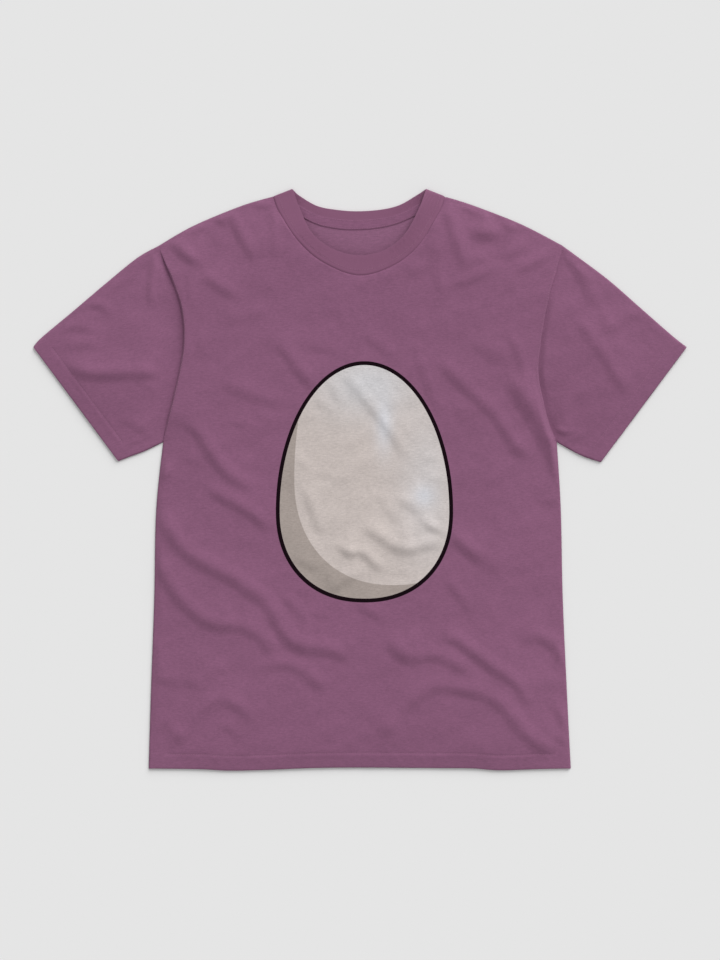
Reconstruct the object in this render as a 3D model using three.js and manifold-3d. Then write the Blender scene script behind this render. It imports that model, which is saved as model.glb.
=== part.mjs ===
// A short-sleeved crew-neck T-shirt with a plain egg printed on its chest, lying face up on a flat surface.
// Units are millimetres. +X is to the right seen from above, +Y runs from the hem to the neck, +Z is up.
// The origin is at the middle of the shirt's bounding rectangle, on the surface that it lies on.
import * as THREE from 'three';
import { mergeVertices } from 'three/addons/utils/BufferGeometryUtils.js';
import Module from 'manifold-3d';

const wasm = await Module();
wasm.setup();

// ---------------------------------------------------------------- driving dimensions
const FABRIC = 0.9; // thickness of the cotton jersey
const RIB = 1.8; // thickness of the collar, a rib strip folded double
const INK = 0.3; // thickness of a printed film
const GAP = 0.3; // clearance between neighbouring pieces
const LOFT = 8.6; // height of the front layer's outer face above the surface
const SLEEVE_LOFT = 8; // the sleeves' front layer lies a little lower than the body's
const FRONT_ROLL = 7; // distance from a folded edge over which the front layer rises
const BACK_ROLL = 3; // the same for a sleeve's back layer
const SLEEVE_EDGE = 3.2; // height of a sleeve's folded edge
const HEM = 18; // depth of the turned-up hems at the waist and the cuffs
const HEM_STEP = 1; // length over which a hem's second layer begins

// Each half of the outline, as points [x, y], from the hem up to the neck.
const LEFT = {
  side: [[-264.4, -362.2], [-261.9, -276], [-257.5, -151], [-255, -39], [-246.3, 46.2]],
  armhole: [
    [-246.3, 46.2], [-240.8, 72.8], [-227.9, 127], [-220.9, 169.5], [-223.5, 212.5], [-236.3, 252], [-252.5, 291.5],
  ],
  shoulder: [[-252.5, 291.5], [-209, 316.5], [-149, 341.5], [-84, 362.3]],
  sleeveTop: [[-252.5, 291.5], [-279, 276.5], [-319, 244], [-359, 210], [-399, 176.5], [-408.8, 165]],
  sleeveUnder: [[-246.3, 46.2], [-269, 35], [-289, 27.5], [-302.5, 22.2]],
};
const RIGHT = {
  side: [[263.8, -362.2], [259.4, -276], [253.8, -151], [251.3, -39], [246.3, 46.2]],
  armhole: [
    [246.3, 46.2], [237.5, 67.5], [228.8, 100], [223.1, 135], [227.5, 180], [236.8, 229.5], [250.6, 277.5],
    [252.5, 292.5],
  ],
  shoulder: [[252.5, 292.5], [201, 319], [141, 342.5], [82.5, 362.3]],
  sleeveTop: [[252.5, 292.5], [271, 279], [311, 249], [351, 214], [391, 179], [408.8, 165]],
  sleeveUnder: [[246.3, 46.2], [261, 37.5], [281, 27.5], [301.3, 21]],
};

// Collar ring as cross-sections [inner edge, seam edge], from the left fold round the front to the right fold
// and back behind the neck. Each edge is [x, y, z] at the middle of the rib's thickness.
const COLLAR_FRONT = LOFT - FABRIC / 2;
const COLLAR_BACK = RIB / 2 + 0.1;
const COLLAR_TURN = (COLLAR_FRONT + COLLAR_BACK) / 2;
const COLLAR = [
  [[-83.6, 361.4, COLLAR_TURN], [-108.2, 353.6, COLLAR_TURN]],
  [[-82.2, 357.5, COLLAR_FRONT - 0.6], [-106.4, 348.5, COLLAR_FRONT - 0.6]],
  [[-75.5, 339, COLLAR_FRONT], [-99.6, 331.5, COLLAR_FRONT]],
  [[-60, 307.5, COLLAR_FRONT], [-79, 300, COLLAR_FRONT]],
  [[-33.8, 287.5, COLLAR_FRONT], [-47, 271.5, COLLAR_FRONT]],
  [[-1.3, 279.4, COLLAR_FRONT], [-1.5, 254.6, COLLAR_FRONT]],
  [[31.3, 286.3, COLLAR_FRONT], [43, 267.7, COLLAR_FRONT]],
  [[56, 306, COLLAR_FRONT], [75, 294.5, COLLAR_FRONT]],
  [[73.5, 338, COLLAR_FRONT], [97.5, 331.5, COLLAR_FRONT]],
  [[80.8, 357.5, COLLAR_FRONT - 0.6], [104.2, 348.5, COLLAR_FRONT - 0.6]],
  [[82.2, 361.4, COLLAR_TURN], [106, 353.4, COLLAR_TURN]],
  [[78.5, 357.2, COLLAR_BACK + 1], [99, 345.5, COLLAR_BACK + 1]],
  [[50, 344, COLLAR_BACK], [57, 323.5, COLLAR_BACK]],
  [[26, 337, COLLAR_BACK], [28, 314.8, COLLAR_BACK]],
  [[-4, 335, COLLAR_BACK], [-4, 311.8, COLLAR_BACK]],
  [[-30, 337.6, COLLAR_BACK], [-33, 313.6, COLLAR_BACK]],
  [[-54, 344.6, COLLAR_BACK], [-61, 321.5, COLLAR_BACK]],
  [[-80, 357.2, COLLAR_BACK + 1], [-101, 345.5, COLLAR_BACK + 1]],
];
const COLLAR_RIGHT_FOLD = 10; // index of the section at the right fold
const TAPE_SPAN = [11.4, 16.6]; // the neck tape's ends, counted in collar sections
const TAPE_TOP = 0.46; // the tape covers the rib from here down to its seam, as a share of the rib's width

const EGG = { x: 5.6, y: -40, halfWidth: 110.6, above: 187, below: 114, squareness: 2.2 };
const EGG_LINE = 4.8; // width of the egg's outline
const EGG_LIT = { x: 20, y: -30, halfWidth: 104, above: 190, below: 104, squareness: 2.2 };

const COLOURS = {
  jersey: 0x865a75,
  rib: 0x82566f,
  outline: 0x1b0b15,
  fill: 0xc3b9b5,
  shade: 0xa59a94,
};

// ---------------------------------------------------------------- curves of the outline
const spline = (points) => new THREE.SplineCurve(points.map(([x, y]) => new THREE.Vector2(x, y)));
const UNDERARM = 0.62; // where the underarm lies between the hem, 0, and the shoulder point, 1
const CURVE_STEPS = 40;

function halfOutline(half) {
  return {
    side: spline(half.side),
    armhole: spline(half.armhole),
    shoulder: spline(half.shoulder),
    sleeveTop: spline(half.sleeveTop),
    sleeveUnder: spline(half.sleeveUnder),
  };
}

const left = halfOutline(LEFT);
const right = halfOutline(RIGHT);
const foldLines = [left, right].flatMap((half) =>
  [half.side, half.sleeveUnder, half.sleeveTop, half.shoulder].map((curve) => curve.getSpacedPoints(CURVE_STEPS)));

// Distance from a point to the nearest folded edge of the shirt, and the direction out across that edge.
function nearestFold(point) {
  let nearest = { distance: Infinity, outward: new THREE.Vector2() };
  for (const line of foldLines) {
    for (let i = 1; i < line.length; i += 1) {
      const along = line[i].clone().sub(line[i - 1]);
      const share = THREE.MathUtils.clamp(point.clone().sub(line[i - 1]).dot(along) / along.lengthSq(), 0, 1);
      const foot = line[i - 1].clone().addScaledVector(along, share);
      const distance = foot.distanceTo(point);
      if (distance < nearest.distance) {
        const across = new THREE.Vector2(along.y, -along.x).normalize();
        const outward = distance > 0.01 ? foot.clone().sub(point).divideScalar(distance) : across;
        nearest = { distance, outward, across };
      }
    }
  }
  return nearest;
}

// A point on a layer that turns over at the folded edges: flat at `flat`, and down or up to `edge` at the fold.
// `depth` is how far below the outer face the point lies, measured through the cloth.
function onLayer(point, flat, edge, roll, depth, inside) {
  const fold = nearestFold(point);
  const outward = fold.distance > 0.01 ? fold.outward : fold.across.clone();
  if (outward.dot(inside.clone().sub(point)) > 0) {
    outward.negate();
  }
  const run = 1 - Math.min(fold.distance / roll, 1);
  const rise = Math.sqrt(1 - run * run);
  const tall = flat - edge;
  const normal = new THREE.Vector2(run / roll, rise / Math.abs(tall)).normalize();
  const plan = point.clone().addScaledVector(outward, -depth * normal.x);
  return new THREE.Vector3(plan.x, plan.y, edge + tall * rise - Math.sign(tall) * depth * normal.y);
}

// ---------------------------------------------------------------- closed forms
// Joins a form's split vertices, and turns it right side out if its mapping has mirrored it.
function closed(geometry) {
  geometry.deleteAttribute('uv');
  geometry.deleteAttribute('normal');
  const merged = mergeVertices(geometry, 1e-4);
  const corner = [new THREE.Vector3(), new THREE.Vector3(), new THREE.Vector3()];
  let volume = 0;
  for (let i = 0; i < merged.index.count; i += 3) {
    corner.forEach((point, k) => point.fromBufferAttribute(merged.attributes.position, merged.index.getX(i + k)));
    volume += corner[0].dot(corner[1].cross(corner[2]));
  }
  if (volume < 0) {
    merged.index.array.reverse();
  }
  merged.computeVertexNormals();
  return merged;
}

// A sheet of cloth: a grid over `us` and `vs`, with place(u, v, isOuter) giving each point of its two faces.
function sheet(us, vs, place) {
  const geometry = new THREE.BoxGeometry(1, 1, 1, us.length - 1, vs.length - 1, 1);
  const position = geometry.attributes.position;
  for (let i = 0; i < position.count; i += 1) {
    const u = us[Math.round((position.getX(i) + 0.5) * (us.length - 1))];
    const v = vs[Math.round((position.getY(i) + 0.5) * (vs.length - 1))];
    const point = place(u, v, position.getZ(i) > 0);
    position.setXYZ(i, point.x, point.y, point.z);
  }
  return closed(geometry);
}

// A tube or ring with a wall: place(i, j) gives corner j of the wall's outline at step i round the ring.
function ring(steps, corners, place) {
  const geometry = new THREE.TorusGeometry(2, 1, corners, steps);
  const { position, uv } = geometry.attributes;
  for (let k = 0; k < position.count; k += 1) {
    const i = Math.round(uv.getX(k) * steps) % steps;
    const j = Math.round(uv.getY(k) * corners) % corners;
    const point = place(i, j);
    position.setXYZ(k, point.x, point.y, point.z);
  }
  return closed(geometry);
}

function solid(geometry) {
  return new wasm.Manifold(new wasm.Mesh({
    numProp: 3,
    vertProperties: new Float32Array(geometry.attributes.position.array),
    triVerts: new Uint32Array(geometry.index.array),
  }));
}

function fromSolid(manifold) {
  const mesh = manifold.getMesh();
  const geometry = new THREE.BufferGeometry();
  geometry.setAttribute('position', new THREE.BufferAttribute(mesh.vertProperties, 3));
  geometry.setIndex(new THREE.BufferAttribute(mesh.triVerts, 1));
  geometry.computeVertexNormals();
  return geometry;
}

// An upright block over a closed outline, from height `low` to height `high`.
function prism(points, low, high) {
  const geometry = new THREE.ExtrudeGeometry(new THREE.Shape(points), { depth: high - low, bevelEnabled: false });
  return closed(geometry.translate(0, 0, low));
}

// Even steps from a to b, both included.
const steps = (a, b, count) => Array.from({ length: count + 1 }, (_, i) => THREE.MathUtils.lerp(a, b, i / count));

// ---------------------------------------------------------------- collar and neck tape
const collarCurve = (edge) => new THREE.CatmullRomCurve3(
  COLLAR.map((section) => new THREE.Vector3(...section[edge])), true, 'centripetal');
const collarInner = collarCurve(0);
const collarSeam = collarCurve(1);
const COLLAR_STEPS = 108;
const CURVE_NUDGE = 1e-3;

// The collar at section number `place`: its two edges, and the direction out through the rib's face.
function collarSection(place) {
  const share = ((place / COLLAR.length) % 1 + 1) % 1;
  const inner = collarInner.getPoint(share);
  const seam = collarSeam.getPoint(share);
  const ahead = collarInner.getPoint((share + CURVE_NUDGE) % 1).add(collarSeam.getPoint((share + CURVE_NUDGE) % 1));
  const tangent = ahead.sub(inner).sub(seam).normalize();
  const across = seam.clone().sub(inner).normalize();
  const normal = across.clone().cross(tangent).normalize();
  return { inner, seam, across, normal };
}

function collarGeometry() {
  const sections = steps(0, COLLAR.length, COLLAR_STEPS).map(collarSection);
  return ring(COLLAR_STEPS, 4, (i, j) => {
    const { inner, seam, normal } = sections[i];
    const edge = j === 0 || j === 3 ? inner : seam;
    return edge.clone().addScaledVector(normal, (j < 2 ? 1 : -1) * RIB / 2);
  });
}

function neckTapeGeometry() {
  const lift = RIB / 2 + GAP;
  return sheet(steps(...TAPE_SPAN, 30), steps(TAPE_TOP, 1, 3), (place, share, isOuter) => {
    const { inner, seam, normal } = collarSection(place);
    return inner.lerp(seam, share).addScaledVector(normal, -(isOuter ? lift + FABRIC : lift));
  });
}

// The area that a panel leaves free for the collar, between two collar sections, open towards the neck.
function neckOpening(from, to) {
  const beyondNeck = 60;
  const edge = steps(from, to, 48).map((place) => {
    const { seam, across } = collarSection(place);
    const out = new THREE.Vector2(across.x, across.y).normalize();
    return new THREE.Vector2(seam.x, seam.y).addScaledVector(out, GAP);
  });
  const first = edge[0];
  const last = edge[edge.length - 1];
  return [...edge, new THREE.Vector2(last.x, last.y + beyondNeck), new THREE.Vector2(first.x, first.y + beyondNeck)];
}

// ---------------------------------------------------------------- body panels
const MIDDLE = new THREE.Vector2(0, 60);
const SIDE_LENGTH = left.side.getLength();
const ARMHOLE_LENGTH = left.armhole.getLength();
const BODY_WIDTH = 508;
const HEM_SHARE = UNDERARM * HEM / SIDE_LENGTH;
const HEM_STEP_SHARE = UNDERARM * HEM_STEP / SIDE_LENGTH;
const ROLL_STEPS = [0, 0.134, 0.5, 1].map((share) => share * FRONT_ROLL); // equal turns of a quarter circle

// The body's edge from the hem, v = 0, past the underarm to the shoulder point, v = 1.
function bodyEdge(half, v) {
  return v <= UNDERARM
    ? half.side.getPointAt(v / UNDERARM)
    : half.armhole.getPointAt((v - UNDERARM) / (1 - UNDERARM));
}

// The shoulders from the left shoulder point, u = 0, straight over the neck, to the right one, u = 1.
const shoulders = new THREE.CurvePath();
const neckLine = new THREE.LineCurve(left.shoulder.getPoint(1), right.shoulder.getPoint(1));
const rightShoulder = new THREE.SplineCurve([...right.shoulder.points].reverse());
[left.shoulder, neckLine, rightShoulder].forEach((curve) => shoulders.add(curve));

// A panel's grid: v by v ruled straight across, and bowed up towards the shoulders.
function bodyPlan(u, v) {
  const across = bodyEdge(left, v).lerp(bodyEdge(right, v), u);
  const bow = shoulders.getPoint(u).sub(bodyEdge(left, 1).lerp(bodyEdge(right, 1), u));
  return across.addScaledVector(bow, v * v);
}

const bodyColumns = [
  ...ROLL_STEPS.map((distance) => distance / BODY_WIDTH),
  ...steps(0.05, 0.95, 14),
  ...[...ROLL_STEPS].reverse().map((distance) => 1 - distance / BODY_WIDTH),
];

// Shares of the armhole's length at which the panels and the sleeves both have a corner, so that they meet evenly.
const armholeShares = [
  ...ROLL_STEPS.map((distance) => distance / ARMHOLE_LENGTH),
  ...steps(0.08, 0.92, 11),
  ...[...ROLL_STEPS].reverse().map((distance) => 1 - distance / ARMHOLE_LENGTH),
];
const bodyRows = [
  0, HEM_SHARE - HEM_STEP_SHARE, HEM_SHARE, ...steps(0.1, 0.55, 6),
  ...armholeShares.map((share) => UNDERARM + (1 - UNDERARM) * share),
];

// Cloth is double in the turned-up hem, with the second layer on the inside.
const clothDepth = (isHem) => (isHem ? 2 * FABRIC : FABRIC);

function frontPanelGeometry() {
  const panel = sheet(bodyColumns, bodyRows, (u, v, isOuter) => {
    const depth = isOuter ? 0 : clothDepth(v < HEM_SHARE);
    return onLayer(bodyPlan(u, v), LOFT, FABRIC + GAP, FRONT_ROLL, depth, MIDDLE);
  });
  const opening = prism(neckOpening(0, COLLAR_RIGHT_FOLD), -LOFT, 2 * LOFT);
  return fromSolid(solid(panel).subtract(solid(opening)));
}

function backPanelGeometry() {
  const panel = sheet(bodyColumns, bodyRows, (u, v, isUpper) => {
    const plan = bodyPlan(u, v);
    return new THREE.Vector3(plan.x, plan.y, isUpper ? clothDepth(v < HEM_SHARE && u > 0.01 && u < 0.99) : 0);
  });
  const opening = prism(neckOpening(COLLAR_RIGHT_FOLD, COLLAR.length), -LOFT, 2 * LOFT);
  return fromSolid(solid(panel).subtract(solid(opening)));
}

// ---------------------------------------------------------------- sleeves
const CUFF_SHARE = 0.8; // where the cuff hem begins between the armhole, 0, and the cuff, 1
const sleeveStations = [...steps(0, CUFF_SHARE - 0.02, 6), CUFF_SHARE, 1];

// A sleeve's folded edge, with its last stretch as long as the cuff hem is deep.
function sleeveEdge(curve, s) {
  const hem = HEM / curve.getLength();
  return s <= CUFF_SHARE
    ? curve.getPointAt((s / CUFF_SHARE) * (1 - hem))
    : curve.getPointAt(1 - ((1 - s) / (1 - CUFF_SHARE)) * hem);
}

function sleeveGeometry(half) {
  const topLength = half.sleeveTop.getLength();
  const last = armholeShares.length - 1;
  const underarmFirst = half.armhole.getPointAt(0);
  const shoulderLast = half.armhole.getPointAt(1);
  const seamward = Math.sign(underarmFirst.x);
  const middle = new THREE.Vector2(seamward * 310, 140);
  const start = GAP / topLength;

  // f runs from the underarm fold to the top fold, s from the armhole to the cuff.
  const plan = (f, s) => {
    const point = sleeveEdge(half.sleeveUnder, s).lerp(sleeveEdge(half.sleeveTop, s), f);
    const bow = half.armhole.getPointAt(f).sub(underarmFirst.clone().lerp(shoulderLast, f));
    return point.addScaledVector(bow, Math.max(0, 1 - s / CUFF_SHARE)).setX(point.x + seamward * GAP);
  };
  const stations = [start, ...sleeveStations.slice(1)];
  const wall = [...stations.map((s) => [s, true]), ...[...stations].reverse().map((s) => [s, false])];

  return ring(2 * last, wall.length, (i, j) => {
    const [s, isOuter] = wall[j];
    const isFront = i <= last;
    const f = armholeShares[isFront ? i : 2 * last - i];
    const depth = isOuter ? 0 : clothDepth(s > CUFF_SHARE);
    const flat = isFront ? SLEEVE_LOFT : 0;
    const roll = isFront ? FRONT_ROLL : BACK_ROLL;
    return onLayer(plan(f, s), flat, SLEEVE_EDGE, roll, depth, middle);
  });
}

// ---------------------------------------------------------------- the printed egg
// An egg's outline: half an ellipse above its widest line and a squarer half below it, drawn in by `inset`.
function eggOutline(egg, inset) {
  const sides = 72;
  return Array.from({ length: sides }, (_, i) => {
    const angle = (i / sides) * 2 * Math.PI;
    const power = Math.sin(angle) < 0 ? 2 / egg.squareness : 1;
    const reach = Math.sin(angle) < 0 ? egg.below : egg.above;
    const x = Math.sign(Math.cos(angle)) * Math.abs(Math.cos(angle)) ** power * (egg.halfWidth - inset);
    const y = Math.sign(Math.sin(angle)) * Math.abs(Math.sin(angle)) ** power * (reach - inset);
    return new THREE.Vector2(egg.x + x, egg.y + y);
  });
}

const inkLow = LOFT + GAP;
const inkHigh = inkLow + INK;
const inkOver = (egg, inset) => solid(prism(eggOutline(egg, inset), inkLow, inkHigh));
const cutter = (egg, inset) => solid(prism(eggOutline(egg, inset), inkLow - 1, inkHigh + 1));

const inkOutline = () => fromSolid(inkOver(EGG, 0).subtract(cutter(EGG, EGG_LINE)));
const inkFill = () => fromSolid(inkOver(EGG, EGG_LINE + GAP).intersect(cutter(EGG_LIT, 0)));
const inkShade = () => fromSolid(inkOver(EGG, EGG_LINE + GAP).subtract(cutter(EGG_LIT, -GAP)));

// ---------------------------------------------------------------- the shirt
const shirt = new THREE.Group();

function add(name, geometry, color, roughness) {
  const mesh = new THREE.Mesh(geometry, new THREE.MeshStandardMaterial({ color, roughness, metalness: 0 }));
  mesh.name = name;
  shirt.add(mesh);
}

add('back_panel', backPanelGeometry(), COLOURS.jersey, 0.95);
add('front_panel', frontPanelGeometry(), COLOURS.jersey, 0.95);
add('sleeve_left', sleeveGeometry(left), COLOURS.jersey, 0.95);
add('sleeve_right', sleeveGeometry(right), COLOURS.jersey, 0.95);
add('collar_rib', collarGeometry(), COLOURS.rib, 0.95);
add('neck_tape', neckTapeGeometry(), COLOURS.jersey, 0.95);
add('egg_print_outline', inkOutline(), COLOURS.outline, 0.7);
add('egg_print_fill', inkFill(), COLOURS.fill, 0.75);
add('egg_print_shade', inkShade(), COLOURS.shade, 0.75);

export default shirt;
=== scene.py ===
# A mauve crew-neck T-shirt with a plain egg printed on it, lying face up on a pale floor.
# Shapes are worked out in millimetres and turned into metres as each mesh is made, on the frame's axes:
# +X is to the right seen from above, +Y runs from the hem to the neck, +Z is up.
import math

import bpy
import numpy as np
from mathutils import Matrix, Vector
from mathutils.geometry import delaunay_2d_cdt


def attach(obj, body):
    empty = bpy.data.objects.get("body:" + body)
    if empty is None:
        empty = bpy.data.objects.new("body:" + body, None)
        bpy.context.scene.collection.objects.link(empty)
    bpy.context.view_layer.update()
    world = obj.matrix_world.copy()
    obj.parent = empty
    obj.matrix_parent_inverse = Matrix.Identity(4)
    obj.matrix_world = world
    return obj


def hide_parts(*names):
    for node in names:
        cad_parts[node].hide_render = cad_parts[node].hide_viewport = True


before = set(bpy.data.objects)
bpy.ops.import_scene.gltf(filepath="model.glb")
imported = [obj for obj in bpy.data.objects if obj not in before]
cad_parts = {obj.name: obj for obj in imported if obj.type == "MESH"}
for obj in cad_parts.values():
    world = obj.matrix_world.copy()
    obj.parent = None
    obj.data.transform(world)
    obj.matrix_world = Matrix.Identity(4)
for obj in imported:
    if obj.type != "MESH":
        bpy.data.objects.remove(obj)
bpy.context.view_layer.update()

MM = 0.001

# ---------------------------------------------------------------- driving dimensions, in mm
FABRIC = 0.9  # thickness of the jersey
RIB = 1.8  # thickness of the collar rib, folded double
LOFT = 8.6  # height of the body's front layer
SLEEVE_LOFT = 7.6  # height of the sleeves' front layer
FOLD_FOOT = 1.15  # height of the front layer where it meets the back layer at a folded edge
SLEEVE_FOOT = 1.3  # the same at a sleeve's folded edge
HEM = 18.5  # depth of the turned-up hems
TUCK = 4.0  # how far a sleeve reaches in under the body at the armhole
FINE = 2.6  # spacing of a visible surface's points
COARSE = 6.0  # the same for a surface on the inside

# Each half of the outline, as points (x, y) along its edges.
LEFT = {
    "side": [(-264.4, -362.2), (-261.9, -276), (-257.5, -151), (-255, -39), (-246.3, 46.2)],
    "armhole": [
        (-246.3, 46.2), (-240.8, 72.8), (-227.9, 127), (-220.9, 169.5),
        (-223.5, 212.5), (-236.3, 252), (-252.5, 291.5),
    ],
    "shoulder": [(-252.5, 291.5), (-209, 316.5), (-149, 341.5), (-108.2, 353.6)],
    "sleeve_top": [(-252.5, 291.5), (-279, 276.5), (-319, 244), (-359, 210), (-399, 176.5), (-408.8, 165)],
    "sleeve_under": [(-246.3, 46.2), (-269, 35), (-289, 27.5), (-302.5, 22.2)],
}
RIGHT = {
    "side": [(263.8, -362.2), (259.4, -276), (253.8, -151), (251.3, -39), (246.3, 46.2)],
    "armhole": [
        (246.3, 46.2), (237.5, 67.5), (228.8, 100), (223.1, 135),
        (227.5, 180), (236.8, 229.5), (250.6, 277.5), (252.5, 292.5),
    ],
    "shoulder": [(252.5, 292.5), (201, 319), (141, 342.5), (106, 353.4)],
    "sleeve_top": [(252.5, 292.5), (271, 279), (311, 249), (351, 214), (391, 179), (408.8, 165)],
    "sleeve_under": [(246.3, 46.2), (261, 37.5), (281, 27.5), (301.3, 21)],
}
HEM_LINE = [
    (-264.4, -362.2), (-200, -363), (-165, -364.8), (-120, -364), (-60, -361.6),
    (0, -361), (100, -361.6), (140, -362), (175, -364.4), (225, -362.8), (263.8, -362.2),
]

# Collar sections [inner edge, seam edge] seen from above: from the left fold round the front to the right
# fold, and back behind the neck.
COLLAR_PLAN = [
    [(-84, 362), (-107.9, 352.7)],
    [(-82.2, 357.5), (-106.4, 348.5)],
    [(-75.5, 339), (-99.6, 331.5)],
    [(-60, 307.5), (-79, 300)],
    [(-33.8, 287.5), (-47, 271.5)],
    [(-1.3, 279.4), (-1.5, 254.6)],
    [(31.3, 286.3), (43, 267.7)],
    [(56, 306), (75, 294.5)],
    [(73.5, 338), (97.5, 331.5)],
    [(80.8, 357.5), (104.2, 348.5)],
    [(81.7, 362), (105.7, 352.5)],
    [(73.4, 356.6), (99, 345.5)],
    [(50, 343), (57, 323.5)],
    [(26, 337), (28, 314.8)],
    [(-4, 335), (-4, 311.8)],
    [(-30, 336.9), (-33, 313.6)],
    [(-54, 341.8), (-61, 321.5)],
    [(-76, 354.6), (-101, 345.5)],
]
RIGHT_FOLD = 10  # number of the section at the right fold
BACK_LEVEL = RIB / 2 + 0.25  # height of the middle of the rib's thickness behind the neck
TURN_LEVEL = BACK_LEVEL + RIB / 2 + 0.1  # the same at the two folds
FRONT_LEAST = BACK_LEVEL + RIB + 0.2  # the least that it can be in front, over the back of the rib
STANDS_UP = {7: 1.0, 8: 3.0, 9: 2.2}  # how much higher the inner edge is where it stands up, by section
TAPE_SPAN = (11.4, 16.6)  # the neck tape's ends, counted in collar sections
TAPE_TOP = 0.46  # the tape covers the rib from here down to its seam, as a share of the rib's width

# The print: an egg's widest line crosses (x, y), with these reaches above and below it.
EGG = {"x": 5.6, "y": -40, "half_width": 110.6, "above": 187, "below": 114}
EGG_LINE = 4.8  # width of the dark outline
# The print is pale inside this one.
EGG_LIT = {"x": 42, "y": 0, "half_width": 124, "above": 260, "below": 132.5}
EGG_SQUARENESS = 2.2  # power of the lower half's curve, where an ellipse has 2


# ---------------------------------------------------------------- folds
# Each fold is (height in mm, half the width of its shaded flank in mm, points along that flank). The folds
# were traced: their points are pixels of the photograph, and the lit side lies to the left of the way that
# they run.
PIXEL = 1.25  # mm of the shirt to a pixel of the photograph
PHOTO_SIZE = (720, 960)  # its pixels across and down
PHOTO_MIDDLE = (360, 479)  # the pixel that the middle of the shirt lies at

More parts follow.
